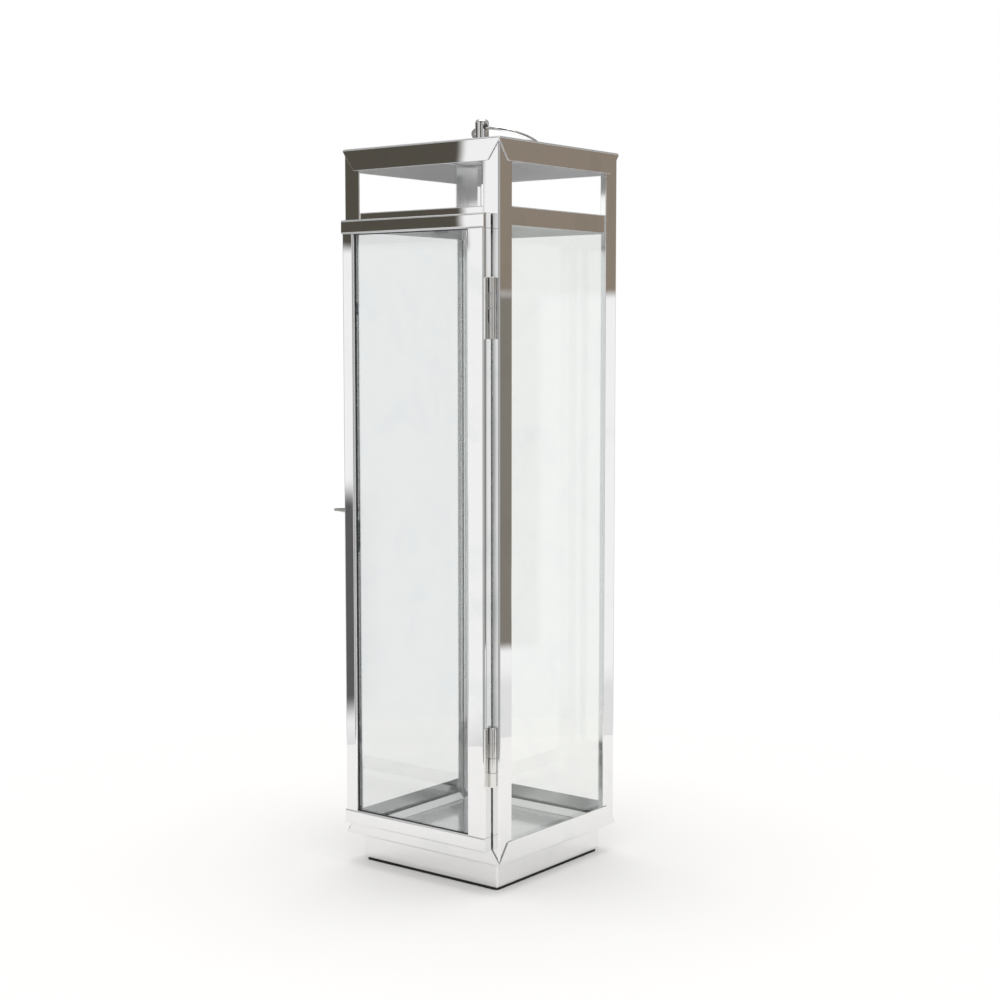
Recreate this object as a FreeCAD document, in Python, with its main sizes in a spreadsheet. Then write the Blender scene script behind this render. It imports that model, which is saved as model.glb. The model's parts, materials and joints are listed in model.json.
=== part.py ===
import FreeCAD, Part
import math
import os
import Sketcher

# Square candle lantern: folded polished sheet, three fixed panes, a glazed hinged door and a ring handle.
# Millimetres. Origin at the middle of the foot's underside, +Z up, the door on the -Y side.

doc = FreeCAD.newDocument("CandleLantern")

# Driving dimensions
SIZES = (
    # overall stack, heights above the surface it stands on
    ("body_side", 180.0, "over the outer faces of the corner posts"),
    ("pad_side", 157.0, "foot pad"),
    ("pad_height", 2.4, "foot pad"),
    ("plinth_side", 160.0, "plinth tray"),
    ("base_level", 26.6, "underside of the base pan"),
    ("cap_level", 665.8, "upper face of the cap"),
    ("header_level", 591.2, "lower edge of the header rails"),
    ("header_height", 16.4, "header rails"),
    # folded sheet
    ("pan_sheet", 1.0, "base pan, cap, plinth and door sheet"),
    ("post_sheet", 1.2, "corner post sheet"),
    ("bend_radius", 1.8, "outer radius of a fold"),
    ("post_flange", 18.0, "leg of a corner post"),
    ("post_clear", 1.6, "gap from a post's end to the pan it stands in"),
    ("skirt_height", 20.0, "skirts of the base pan and the cap"),
    ("corner_depth", 2.2, "closed corner of two skirts, under the fold"),
    ("skirt_inset", 13.0, "skirt short of the corner at its free edge"),
    ("skirt_round", 2.5, "corner radius of a skirt's free edge"),
    ("header_flange", 8.0, "inward leg of a header rail"),
    ("header_end", 3.7, "header web short of the body's outer face"),
    ("header_mitre", 10.5, "header flange short of the body's outer face"),
    # fixed glass and what holds it
    ("glass", 3.0, "thickness of every pane"),
    ("pane_width", 160.0, "fixed panes"),
    ("pane_setback", 2.4, "pane's outer face behind the body's outer face"),
    ("glass_arris", 0.3, "ground edges of a pane"),
    ("pane_top_gap", 1.6, "pane below the header's flange"),
    ("bead_length", 140.0, "bead strips"),
    ("bead_height", 6.0, "bead strips"),
    ("bead_reach", 6.0, "bead strips, inwards"),
    ("bead_sheet", 0.8, "bead strips and clips"),
    ("bead_clear", 0.2, "bead strips from the glass"),
    ("clip_width", 14.0, "pane clips"),
    ("clip_drop", 10.0, "pane clips"),
    ("clip_pitch", 90.0, "between the two clips of a pane"),
    # door
    ("door_width", 165.0, "over the stiles"),
    ("door_shift", -0.5, "middle of the door from the middle of the body"),
    ("door_level", 40.2, "lower edge of the door"),
    ("door_height", 560.6, "door"),
    ("door_depth", 10.0, "door"),
    ("door_gap", 1.5, "door's back face in front of the posts"),
    ("stile_width", 13.3, "door stile on the latch side"),
    ("hinge_stile_width", 19.3, "door stile on the hinge side"),
    ("rail_height", 13.0, "door rails"),
    ("rail_lap", 1.2, "rails past the latch stile"),
    ("lip_depth", 3.8, "inner lip of the door channel"),
    ("door_pane_side", 4.5, "door pane inside the stiles' outer faces"),
    ("door_pane_end", 1.2, "door pane inside the rails' outer faces"),
    ("seal_width", 0.8, "door seal, from the inner lips into the opening"),
    ("seal_depth", 1.3, "door seal, out from the glass"),
    ("door_clip_height", 12.0, "door pane clips"),
    ("door_clip_reach", 6.0, "door pane clips, over the glass"),
    ("door_clip_depth", 2.7, "door pane clips, along the stile"),
    ("door_clip_pitch", 400.0, "between the clips of one stile"),
    # butt hinges
    ("hinge_length", 52.4, "one hinge"),
    ("lower_hinge_level", 98.8, "lower end of the lower hinge"),
    ("upper_hinge_level", 492.8, "lower end of the upper hinge"),
    ("knuckle_radius", 3.2, "hinge knuckles"),
    ("leaf_sheet", 1.2, "hinge leaves"),
    ("leaf_width", 11.0, "leaf on the post"),
    ("door_leaf_width", 7.6, "leaf on the door's side"),
    ("knuckle_clear", 0.3, "knuckles clear of the face each leaf is fixed to"),
    ("knuckle_gap", 0.6, "between neighbouring knuckles"),
    ("leaf_clear", 0.5, "leaf cut back from the other leaf's knuckles"),
    ("pin_radius", 1.95, "hinge pins"),
    ("pin_clear", 0.05, "running clearance of a hinge pin"),
    ("pin_head_radius", 2.9, "hinge pin head"),
    ("pin_head", 1.0, "hinge pin head"),
    # door pull and magnetic catch
    ("pull_level", 334.5, "height of the pull"),
    ("pull_length", 16.7, "pull out of the stile"),
    ("pull_root_radius", 2.4, "pull at the stile"),
    ("pull_neck_radius", 1.25, "pull behind its ball end"),
    ("pull_ball_radius", 1.7, "pull's ball end"),
    ("pull_collar_radius", 3.2, "collar against the stile"),
    ("pull_collar", 0.9, "collar against the stile"),
    ("pull_shank_radius", 1.45, "threaded shank inside the channel"),
    ("pull_shank_length", 3.2, "threaded shank inside the channel"),
    ("pull_nut_flats", 5.5, "thin nut across flats"),
    ("pull_nut_height", 1.8, "thin nut"),
    ("magnet_width", 9.0, "catch magnet"),
    ("magnet_depth", 3.0, "catch magnet"),
    ("magnet_height", 24.0, "catch magnet"),
    ("magnet_drop", 24.0, "middle of the catch below the pull"),
    ("magnet_gap", 0.1, "catch magnet from the glass and from the door's back"),
    ("strike_width", 13.5, "strike plate"),
    ("strike_inset", 2.5, "strike plate from the body's corner"),
    ("strike_height", 30.0, "strike plate"),
    # ring handle
    ("stud_radius", 6.35, "handle stud"),
    ("stud_height", 29.0, "handle stud above the cap"),
    ("stud_round", 3.0, "upper edge of the stud"),
    ("cross_hole_level", 22.0, "cross hole above the cap"),
    ("cross_hole_radius", 3.0, "cross hole"),
    ("cross_hole_flare", 0.7, "rounded mouth of the cross hole"),
    ("stud_turn", -10.0, "degrees the cross hole is turned from the door's plane"),
    ("shank_radius", 3.0, "threaded shank under the stud"),
    ("shank_length", 10.5, "threaded shank under the stud"),
    ("shank_clear", 0.2, "cap hole over the shank"),
    ("washer_radius", 6.0, "washer under the cap"),
    ("washer_height", 1.2, "washer under the cap"),
    ("nut_flats", 10.0, "nut under the cap, across flats"),
    ("nut_height", 5.0, "nut under the cap"),
    ("ring_radius", 32.5, "ring, to the middle of its wire"),
    ("wire_radius", 1.6, "ring wire"),
    ("ring_drop", 0.8, "wire below the middle of the cross hole"),
    ("ring_rest_gap", 0.3, "ring's low end above the cap"),
)

SHEET = "Sizes"
sheet = doc.addObject("Spreadsheet::Sheet", SHEET)
value = {}
for row, (alias, number, note) in enumerate(SIZES, start=1):
    sheet.set("A%d" % row, note)
    sheet.set("B%d" % row, str(number))
    sheet.setAlias("B%d" % row, alias)
    value[alias] = number
doc.recompute()

pieces = []

# An edge this share of a piece's length counts as running along it
MOSTLY = 0.9

# Places closer than this count as the same
SAME_PLACE = 1e-3


def bound(formula):
    """Turns plain words of the size sheet into references to its cells."""
    words = []
    word = ""
    for letter in formula + " ":
        if letter.isalnum() or letter == "_":
            word += letter
            continue
        words.append("%s.%s" % (SHEET, word) if word in value else word)
        words.append(letter)
        word = ""
    return "".join(words).strip()


def number(formula):
    """The present value of such a formula."""
    return float(sheet.evalExpression(bound(formula)))


def origin_plane(body, role):
    return next(plane for plane in body.Origin.OriginFeatures if plane.Role == role)


def new_body(label):
    body = doc.addObject("PartDesign::Body", label)
    body.Label = label
    pieces.append(body)
    return body


def new_sketch(body, name, role, offset="0"):
    """A sketch on one of the body's own planes, raised along the plane's normal."""
    sketch = body.newObject("Sketcher::SketchObject", body.Label + "_" + name)
    sketch.AttachmentSupport = [(origin_plane(body, role), "")]
    sketch.MapMode = "FlatFace"
    sketch.setExpression("AttachmentOffset.Base.z", bound(offset))
    return sketch


def pin_point(sketch, geometry, end, across, along):
    """Holds one point of a sketch at a pair of formulas, measured from the sketch's origin."""
    for kind, formula in (("DistanceX", across), ("DistanceY", along)):
        index = sketch.addConstraint(Sketcher.Constraint(kind, -1, 1, geometry, end, number(formula)))
        sketch.setExpression("Constraints[%d]" % index, bound(formula))


def outline(sketch, corners):
    """A closed outline of straight edges through corners given as pairs of formulas."""
    points = [FreeCAD.Vector(number(across), number(along), 0) for across, along in corners]
    first = sketch.GeometryCount
    count = len(points)
    for index in range(count):
        sketch.addGeometry(Part.LineSegment(points[index], points[(index + 1) % count]))
    for index in range(count):
        following = first + (index + 1) % count
        sketch.addConstraint(Sketcher.Constraint("Coincident", first + index, 2, following, 1))
        pin_point(sketch, first + index, 1, *corners[index])


def circle(sketch, across, along, radius):
    middle = FreeCAD.Vector(number(across), number(along), 0)
    geometry = sketch.addGeometry(Part.Circle(middle, FreeCAD.Vector(0, 0, 1), number(radius)))
    pin_point(sketch, geometry, 3, across, along)
    index = sketch.addConstraint(Sketcher.Constraint("Radius", geometry, number(radius)))
    sketch.setExpression("Constraints[%d]" % index, bound(radius))


def rectangle(sketch, left, low, right, high):
    outline(sketch, ((left, low), (right, low), (right, high), (left, high)))


def pad(body, sketch, length, both_ways=False):
    feature = body.newObject("PartDesign::Pad", sketch.Label + "_pad")
    feature.Profile = sketch
    feature.setExpression("Length", bound(length))
    feature.Midplane = both_ways
    doc.recompute()
    return feature


def pocket_through(body, sketch):
    """A cut right through the body, both ways from the sketch, checked to take material away."""
    before = body.Shape.Volume
    feature = body.newObject("PartDesign::Pocket", sketch.Label + "_cut")
    feature.Profile = sketch
    feature.Type = "ThroughAll"
    feature.Midplane = True
    doc.recompute()
    if body.Shape.Volume >= before:
        raise RuntimeError(sketch.Label + " cuts nothing")
    return feature


def pocket(body, sketch, depth, reverse=False):
    before = body.Shape.Volume
    feature = body.newObject("PartDesign::Pocket", sketch.Label + "_cut")
    feature.Profile = sketch
    feature.setExpression("Length", bound(depth))
    feature.Reversed = reverse
    doc.recompute()
    if body.Shape.Volume >= before:
        raise RuntimeError(sketch.Label + " cuts nothing")
    return feature


def round_edges(body, base, radius, wanted):
    """Rounds the edges of the base feature whose two end points and middle pass the test."""
    names = []
    for index, edge in enumerate(base.Shape.Edges, start=1):
        if wanted(edge):
            names.append("Edge%d" % index)
    feature = body.newObject("PartDesign::Fillet", body.Label + "_round")
    feature.Base = (base, names)
    feature.setExpression("Radius", bound(radius))
    doc.recompute()
    return feature


def middle_of(edge):
    return edge.valueAt((edge.FirstParameter + edge.LastParameter) / 2.0)


def near(one, other):
    return abs(one - other) < SAME_PLACE


def turned(body, degrees):
    """Turns a finished piece about the lantern's upright axis."""
    body.Placement = FreeCAD.Placement(FreeCAD.Vector(), FreeCAD.Rotation(FreeCAD.Vector(0, 0, 1), degrees))


def polar_copies(body, original, count, sweep):
    feature = body.newObject("PartDesign::PolarPattern", original.Label + "_round_the_axis")
    feature.Originals = [original]
    z_axis = next(axis for axis in body.Origin.OriginFeatures if axis.Role == "Z_Axis")
    feature.Axis = (z_axis, [""])
    feature.Occurrences = count
    feature.Angle = sweep
    body.Tip = feature
    doc.recompute()
    return feature


# Turns of the four sides about the upright axis: a piece is drawn on the front and turned to its side
SIDE_TURN = {"front": 0.0, "right": 90.0, "rear": 180.0, "left": 270.0}
CORNER_TURN = {"front_right": 0.0, "rear_right": 90.0, "rear_left": 180.0, "front_left": 270.0}


def foot_pad():
    body = new_body("foot_pad")
    sketch = new_sketch(body, "plan", "XY_Plane")
    rectangle(sketch, "-pad_side/2", "-pad_side/2", "pad_side/2", "pad_side/2")
    block = pad(body, sketch, "pad_height")
    round_edges(body, block, "2*bend_radius", lambda edge: near(edge.Length, value["pad_height"]))


def plinth():
    """A folded tray: floor on the pad, four walls up to the base pan, the lower fold rounded."""
    body = new_body("plinth")
    plan = new_sketch(body, "plan", "XY_Plane", "pad_height")
    rectangle(plan, "-plinth_side/2", "-plinth_side/2", "plinth_side/2", "plinth_side/2")
    block = pad(body, plan, "base_level-pad_height")
    top = value["base_level"]
    block = round_edges(body, block, "bend_radius", lambda edge: not near(middle_of(edge).z, top))
    hollow = new_sketch(body, "hollow", "XY_Plane", "base_level")
    inner = "plinth_side/2-pan_sheet"
    rectangle(hollow, "-(%s)" % inner, "-(%s)" % inner, inner, inner)
    pocket(body, hollow, "base_level-pad_height-pan_sheet")


def folded_pan(label, plate_level, skirt_sense):
    """A square plate with four skirts folded up (+1) or down (-1), slanting away from its corners."""
    body = new_body(label)
    half = "(body_side/2+pan_sheet)"
    plate = new_sketch(body, "plate", "XY_Plane", plate_level)
    rectangle(plate, "-" + half, "-" + half, half, half)
    pad(body, plate, "pan_sheet")
    fold = plate_level if skirt_sense > 0 else "(%s+pan_sheet)" % plate_level
    away = fold + ("+" if skirt_sense > 0 else "-")
    corner = away + "corner_depth"
    edge = away + "skirt_height"
    tip = "(body_side/2+pan_sheet-skirt_inset)"
    skirt = new_sketch(body, "skirt", "XZ_Plane", "body_side/2")
    outline(skirt, (("-" + half, fold), (half, fold), (half, corner), (tip, edge),
                    ("-" + tip, edge), ("-" + half, corner)))
    wall = pad(body, skirt, "pan_sheet")
    pan = polar_copies(body, wall, 4, 360.0)
    outer = number(half)
    fold_z = number(fold)
    inside = outer - value["pan_sheet"]
    inside_z = fold_z + skirt_sense * value["pan_sheet"]
    long_edge = 2.0 * outer

    def lies(edge_, reach, level):
        point = middle_of(edge_)
        far = max(abs(point.x), abs(point.y))
        return near(far, reach) and near(point.z, level) and edge_.Length > long_edge * MOSTLY

    pan = round_edges(body, pan, "bend_radius", lambda edge_: lies(edge_, outer, fold_z))
    pan = round_edges(body, pan, "bend_radius-pan_sheet", lambda edge_: lies(edge_, inside, inside_z))
    free_z = number(edge)
    tip_at = number(tip)

    def free_corner(edge_):
        point = middle_of(edge_)
        across = min(abs(point.x), abs(point.y))
        return near(point.z, free_z) and near(across, tip_at) and near(edge_.Length, value["pan_sheet"])

    return body, round_edges(body, pan, "skirt_round", free_corner)


def top_cap():
    body, shell = folded_pan("top_cap", "cap_level-pan_sheet", -1)
    hole = new_sketch(body, "shank_hole", "XY_Plane", "cap_level")
    circle(hole, "0", "0", "shank_radius+shank_clear")
    pocket(body, hole, "2*pan_sheet")


def corner_post(corner):
    """A folded angle in one corner, standing inside the skirts of the base pan and the cap."""
    body = new_body(corner + "_post")
    out = "body_side/2"
    back = "(body_side/2-post_sheet)"
    tip = "(body_side/2-post_flange)"
    plan = new_sketch(body, "plan", "XY_Plane", "base_level+pan_sheet+post_clear")
    outline(plan, ((tip, "-" + out), (out, "-" + out), (out, "-" + tip), (back, "-" + tip),
                   (back, "-" + back), (tip, "-" + back)))
    angle = pad(body, plan, "cap_level-base_level-2*pan_sheet-2*post_clear")
    at = number(out)
    angle = round_edges(body, angle, "bend_radius", lambda edge: near(middle_of(edge).x, at)
                        and near(middle_of(edge).y, -at) and edge.Length > at)
    at_back = number(back)
    round_edges(body, angle, "bend_radius-post_sheet", lambda edge: near(middle_of(edge).x, at_back)
                and near(middle_of(edge).y, -at_back) and edge.Length > at_back)
    turned(body, CORNER_TURN[corner])


def header_rail(side):
    """An angle behind the posts: an upright web on show and a leg turned inwards along its top."""
    body = new_body(side + "_header")
    web = new_sketch(body, "web", "XZ_Plane", "body_side/2-post_sheet-pan_sheet")
    end = "(body_side/2-header_end)"
    top = "header_level+header_height"
    rectangle(web, "-" + end, "header_level", end, top)
    pad(body, web, "pan_sheet")
    leg = new_sketch(body, "leg", "XY_Plane", top + "-pan_sheet")
    mitre = "(body_side/2-header_mitre)"
    front = "-(body_side/2-post_sheet)"
    rectangle(leg, "-" + mitre, front, mitre, front + "+header_flange")
    rail = pad(body, leg, "pan_sheet")
    face = number(front)
    level = number(top)
    round_edges(body, rail, "bend_radius/2", lambda edge: near(middle_of(edge).y, face)
                and near(middle_of(edge).z, level))
    turned(body, SIDE_TURN[side])


def pane(side):
    body = new_body(side + "_pane")
    plan = new_sketch(body, "plan", "XY_Plane", "base_level+pan_sheet")
    face = "-(body_side/2-pane_setback)"
    rectangle(plan, "-pane_width/2", face, "pane_width/2", face + "+glass")
    tall = "header_level+header_height-2*pan_sheet-pane_top_gap-base_level"
    sheet_of_glass = pad(body, plan, tall)
    length = number(tall)
    round_edges(body, sheet_of_glass, "glass_arris", lambda edge: near(edge.Length, length))
    turned(body, SIDE_TURN[side])


def pane_bead(side):
    """A strip folded to a low ridge along the foot of a pane, one leg upright and one on the slant."""
    body = new_body(side + "_pane_bead")
    profile = new_sketch(body, "section", "YZ_Plane")
    face = "-(body_side/2-pane_setback-glass-bead_clear)"
    floor = "(base_level+pan_sheet)"
    slope = "bead_sheet*sqrt(2)"
    outline(profile, ((face, floor), (face, floor + "+bead_height"),
                      (face + "+bead_sheet", floor + "+bead_height"),
                      (face + "+bead_reach", floor + "+bead_sheet"),
                      (face + "+bead_reach", floor),
                      (face + "+bead_reach+bead_sheet-" + slope, floor),
                      (face + "+bead_sheet", floor + "+bead_height-" + slope),
                      (face + "+bead_sheet", floor)))
    strip = pad(body, profile, "bead_length", both_ways=True)
    ridge_z = number(floor + "+bead_height")
    round_edges(body, strip, "bead_sheet/3", lambda edge: near(middle_of(edge).z, ridge_z)
                and edge.Length > value["bead_length"] * MOSTLY)
    turned(body, SIDE_TURN[side])


def box(name, low, size):
    """A plain block with its low corner and its size given as formulas."""
    block = doc.addObject("Part::Box", name)
    for side, formula in zip(("Length", "Width", "Height"), size):
        block.setExpression(side, bound(formula))
    for axis, formula in zip("xyz", low):
        block.setExpression("Placement.Base." + axis, bound(formula))
    return block


def fused(name, shapes):
    joined = doc.addObject("Part::MultiFuse", name)
    joined.Shapes = shapes
    return joined


def group(label, members):
    """Separate solids of one kind kept together under one name."""
    together = doc.addObject("Part::Compound", label)
    together.Label = label
    together.Links = members
    pieces.append(together)


def pane_clips():
    """Two angle clips under each header's leg, behind the heads of the right, rear and left panes."""
    front = "-(body_side/2-pane_setback-glass-bead_sheet/2)"
    under = "header_level+header_height-pan_sheet"
    inward = "body_side/2-pane_setback-glass-bead_sheet/2-(body_side/2-post_sheet-header_flange)"
    clips = []
    for side in ("right", "rear", "left"):
        for sign in ("-", ""):
            name = "%s_clip_%d" % (side, len(clips))
            start = "%sclip_pitch/2-clip_width/2" % sign
            blade = box(name + "_blade", (start, front, under + "-clip_drop"),
                        ("clip_width", "bead_sheet", "clip_drop"))
            foot = box(name + "_foot", (start, front, under + "-bead_sheet"),
                       ("clip_width", inward, "bead_sheet"))
            clip = fused(name, [blade, foot])
            turned(clip, SIDE_TURN[side])
            clips.append(clip)
    group("pane_clips", clips)


# Door, drawn shut. Its faces as formulas
DOOR_LEFT = "(door_shift-door_width/2)"
DOOR_RIGHT = "(door_shift+door_width/2)"
DOOR_FRONT = "-(body_side/2+door_gap+door_depth)"
DOOR_BACK = "-(body_side/2+door_gap)"
DOOR_TOP = "(door_level+door_height)"


def channel(edge, sense):
    """Section of the folded door channel: outer return, face and inner lip, as (across, depth) pairs."""
    def across(inset):
        return "%s%s(%s)" % (edge, sense, inset)
    return ((across("0"), DOOR_FRONT), (across("face_width"), DOOR_FRONT),
            (across("face_width"), DOOR_FRONT + "+lip_depth"),
            (across("face_width-pan_sheet"), DOOR_FRONT + "+lip_depth"),
            (across("face_width-pan_sheet"), DOOR_FRONT + "+pan_sheet"),
            (across("pan_sheet"), DOOR_FRONT + "+pan_sheet"),
            (across("pan_sheet"), DOOR_BACK), (across("0"), DOOR_BACK))


def round_channel(body, bar, long_side):
    """Rounds the two folds at the front of a door channel."""
    front = number(DOOR_FRONT)
    round_edges(body, bar, "bend_radius", lambda edge: edge.Length > long_side * MOSTLY
                and near(middle_of(edge).y, front))


def door_stile(label, edge, sense, width):
    body = new_body(label)
    plan = new_sketch(body, "section", "XY_Plane", "door_level+rail_height")
    corners = [(across.replace("face_width", width), depth) for across, depth in channel(edge, sense)]
    outline(plan, corners)
    tall = "door_height-2*rail_height"
    bar = pad(body, plan, tall)
    round_channel(body, bar, number(tall))
    return body


def door_rail(label, edge, sense):
    """A full-width channel with a tab folded across each end."""
    body = new_body(label)
    section = new_sketch(body, "section", "YZ_Plane", DOOR_LEFT + "-rail_lap")
    corners = [(depth, up.replace("face_width", "rail_height")) for up, depth in channel(edge, sense)]
    outline(section, corners)
    bar = pad(body, section, "door_width+rail_lap")
    round_channel(body, bar, value["door_width"])
    inner = "%s%s" % (edge, sense)
    for end in (DOOR_LEFT + "-rail_lap", DOOR_RIGHT + "-pan_sheet"):
        tab = new_sketch(body, "tab", "YZ_Plane", end)
        outline(tab, ((DOOR_FRONT + "+pan_sheet", inner + "(rail_height-pan_sheet)"),
                      (DOOR_FRONT + "+lip_depth", inner + "(rail_height-pan_sheet)"),
                      (DOOR_FRONT + "+lip_depth", inner + "rail_height"),
                      (DOOR_BACK, inner + "rail_height"), (DOOR_BACK, inner + "pan_sheet"),
                      (DOOR_FRONT + "+pan_sheet", inner + "pan_sheet")))
        pad(body, tab, "pan_sheet")


def latch_stile():
    body = door_stile("door_latch_stile", DOOR_LEFT, "+", "stile_width")
    hole = new_sketch(body, "pull_hole", "YZ_Plane", DOOR_LEFT + "+pan_sheet")
    circle(hole, PULL_DEPTH, "pull_level", "pull_shank_radius+pin_clear")
    pocket(body, hole, "2*pan_sheet")


def door_pane():
    body = new_body("door_pane")
    plan = new_sketch(body, "plan", "XY_Plane", "door_level+door_pane_end")
    face = DOOR_FRONT + "+lip_depth"
    rectangle(plan, DOOR_LEFT + "+door_pane_side", face, DOOR_RIGHT + "-door_pane_side", face + "+glass")
    tall = "door_height-2*door_pane_end"
    sheet_of_glass = pad(body, plan, tall)
    length = number(tall)
    round_edges(body, sheet_of_glass, "glass_arris", lambda edge: near(edge.Length, length))


def door_seal():
    """A rubber strip round the door's opening, along the inner lips and against the glass."""
    body = new_body("door_seal")
    ring = new_sketch(body, "ring", "XZ_Plane", "body_side/2+door_gap+door_depth-lip_depth")
    for inset in ("0", "seal_width"):
        rectangle(ring, "%s+stile_width+%s" % (DOOR_LEFT, inset), "door_level+rail_height+" + inset,
                  "%s-hinge_stile_width-%s" % (DOOR_RIGHT, inset), "%s-rail_height-%s" % (DOOR_TOP, inset))
    pad(body, ring, "seal_depth")


def door_pane_clips():
    """An angle clip at two heights on each stile's return, behind the glass."""
    face = DOOR_FRONT + "+lip_depth+glass"
    middle = "door_level+door_height/2"
    clips = []
    for start, blade_start in ((DOOR_LEFT + "+pan_sheet", DOOR_LEFT + "+pan_sheet"),
                               (DOOR_RIGHT + "-pan_sheet-bead_sheet",
                                DOOR_RIGHT + "-pan_sheet-door_clip_reach")):
        for sign in ("-", "+"):
            name = "door_clip_%d" % len(clips)
            low = "%s%sdoor_clip_pitch/2-door_clip_height/2" % (middle, sign)
            foot = box(name + "_foot", (start, face, low),
                       ("bead_sheet", "door_clip_depth", "door_clip_height"))
            blade = box(name + "_blade", (blade_start, face, low),
                        ("door_clip_reach", "bead_sheet", "door_clip_height"))
            clips.append(fused(name, [foot, blade]))
    group("door_pane_clips", clips)


# Hinge axis, in front of the post and beside the door
AXIS_X = "(door_shift+door_width/2+knuckle_radius+knuckle_clear)"
AXIS_Y = "-(body_side/2+knuckle_radius+knuckle_clear)"
KNUCKLE_PITCH = "(hinge_length/4)"


def hinge_leaf(label, level, first_knuckle, plate, bridge):
    """One leaf: a flat plate, two of the four knuckles joined to it, and the bore for the pin."""
    body = new_body(label)
    flat = new_sketch(body, "plate", "XY_Plane", level)
    rectangle(flat, *plate)
    pad(body, flat, "hinge_length")
    start = "%s+%d*%s+knuckle_gap/2" % (level, first_knuckle, KNUCKLE_PITCH)
    web = new_sketch(body, "bridge", "XY_Plane", start)
    rectangle(web, *bridge)
    web_pad = pad(body, web, KNUCKLE_PITCH + "-knuckle_gap")
    barrel = new_sketch(body, "knuckle", "XY_Plane", start)
    circle(barrel, AXIS_X, AXIS_Y, "knuckle_radius")
    barrel_pad = pad(body, barrel, KNUCKLE_PITCH + "-knuckle_gap")
    pair = body.newObject("PartDesign::LinearPattern", label + "_knuckles")
    pair.Originals = [web_pad, barrel_pad]
    pair.Direction = (next(axis for axis in body.Origin.OriginFeatures if axis.Role == "Z_Axis"), [""])
    pair.setExpression("Length", bound("2*" + KNUCKLE_PITCH))
    pair.Occurrences = 2
    body.Tip = pair
    doc.recompute()
    bore = new_sketch(body, "bore", "XY_Plane", level + "+hinge_length")
    circle(bore, AXIS_X, AXIS_Y, "pin_radius+pin_clear")
    pocket(body, bore, "hinge_length")


def hinge(name, level):
    """A butt hinge: one leaf flat on the post behind the door, the other on the door's side."""
    cut_back = "(knuckle_radius+leaf_clear)"
    post_face = "-body_side/2"
    leaf_face = post_face + "-leaf_sheet"
    hinge_leaf(name + "_hinge_frame_leaf", level, 1,
               (AXIS_X + "-leaf_width", leaf_face, AXIS_X + "-" + cut_back, post_face),
               (AXIS_X + "-" + cut_back, leaf_face, AXIS_X, post_face))
    side = DOOR_RIGHT + "+leaf_sheet"
    hinge_leaf(name + "_hinge_door_leaf", level, 0,
               (DOOR_RIGHT, AXIS_Y + "-door_leaf_width", side, AXIS_Y + "-" + cut_back),
               (DOOR_RIGHT, AXIS_Y + "-" + cut_back, side, AXIS_Y))
    body = new_body(name + "_hinge_pin")
    shank = new_sketch(body, "shank", "XY_Plane", level)
    circle(shank, AXIS_X, AXIS_Y, "pin_radius")
    pad(body, shank, "hinge_length")
    head = new_sketch(body, "head", "XY_Plane", level + "+hinge_length-knuckle_gap/2")
    circle(head, AXIS_X, AXIS_Y, "pin_head_radius")
    bar = pad(body, head, "pin_head")
    top = number(level + "+hinge_length-knuckle_gap/2+pin_head")
    round_edges(body, bar, "pin_head/2", lambda edge: near(middle_of(edge).z, top))


# Door pull, halfway through the door's depth
PULL_DEPTH = "-(body_side/2+door_gap+door_depth/2)"


def cylinder(name, radius, height, start):
    """A round bar along its own upright axis."""
    bar = doc.addObject("Part::Cylinder", name)
    bar.setExpression("Radius", bound(radius))
    bar.setExpression("Height", bound(height))
    bar.setExpression("Placement.Base.z", bound(start))
    return bar


def door_pull():
    """A turned pin: threaded shank, collar, tapered stem and ball end, drawn upright and laid along -X."""
    shank = cylinder("pull_shank", "pull_shank_radius", "pull_shank_length", "-pull_shank_length")
    collar = cylinder("pull_collar_disc", "pull_collar_radius", "pull_collar", "0")
    stem = doc.addObject("Part::Cone", "pull_stem")
    stem.setExpression("Radius1", bound("pull_root_radius"))
    stem.setExpression("Radius2", bound("pull_neck_radius"))
    stem.setExpression("Height", bound("pull_length-pull_ball_radius"))
    ball = doc.addObject("Part::Sphere", "pull_ball")
    ball.setExpression("Radius", bound("pull_ball_radius"))
    ball.setExpression("Placement.Base.z", bound("pull_length-pull_ball_radius"))
    pull = fused("door_pull", [shank, collar, stem, ball])
    pull.Label = "door_pull"
    lay_along_minus_x(pull, DOOR_LEFT)
    pieces.append(pull)


def lay_along_minus_x(piece, start):
    """Lays an upright piece along -X at the pull's height, its foot at the given place."""
    foot = FreeCAD.Vector(number(start), number(PULL_DEPTH), number("pull_level"))
    piece.Placement = FreeCAD.Placement(foot, FreeCAD.Rotation(FreeCAD.Vector(0, 1, 0), -90))


def hexagon(sketch, flats):
    """A hexagon about the sketch's origin, two corners on its upright axis."""
    half = "(%s)/2" % flats
    corner = "(%s)/sqrt(3)" % flats
    short = "(%s)/(2*sqrt(3))" % flats
    outline(sketch, (("0", corner), ("-" + half, short), ("-" + half, "-" + short), ("0", "-" + corner),
                     (half, "-" + short), (half, short)))


def nut(label, flats, height, bore, level):
    body = new_body(label)
    plan = new_sketch(body, "plan", "XY_Plane", level)
    hexagon(plan, flats)
    pad(body, plan, height)
    hole = new_sketch(body, "bore", "XY_Plane", "%s+%s" % (level, height))
    circle(hole, "0", "0", bore)
    pocket(body, hole, height)
    return body


def pull_nut():
    body = nut("pull_nut", "pull_nut_flats", "pull_nut_height", "pull_shank_radius+pin_clear", "0")
    lay_along_minus_x(body, DOOR_LEFT + "+pan_sheet+pull_nut_height")


def catch_magnet():
    body = new_body("catch_magnet")
    plan = new_sketch(body, "plan", "XY_Plane", "pull_level-magnet_drop-magnet_height/2")
    back = DOOR_BACK + "-magnet_gap"
    left = DOOR_LEFT + "+pan_sheet"
    rectangle(plan, left, back + "-magnet_depth", left + "+magnet_width", back)
    pad(body, plan, "magnet_height")


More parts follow.
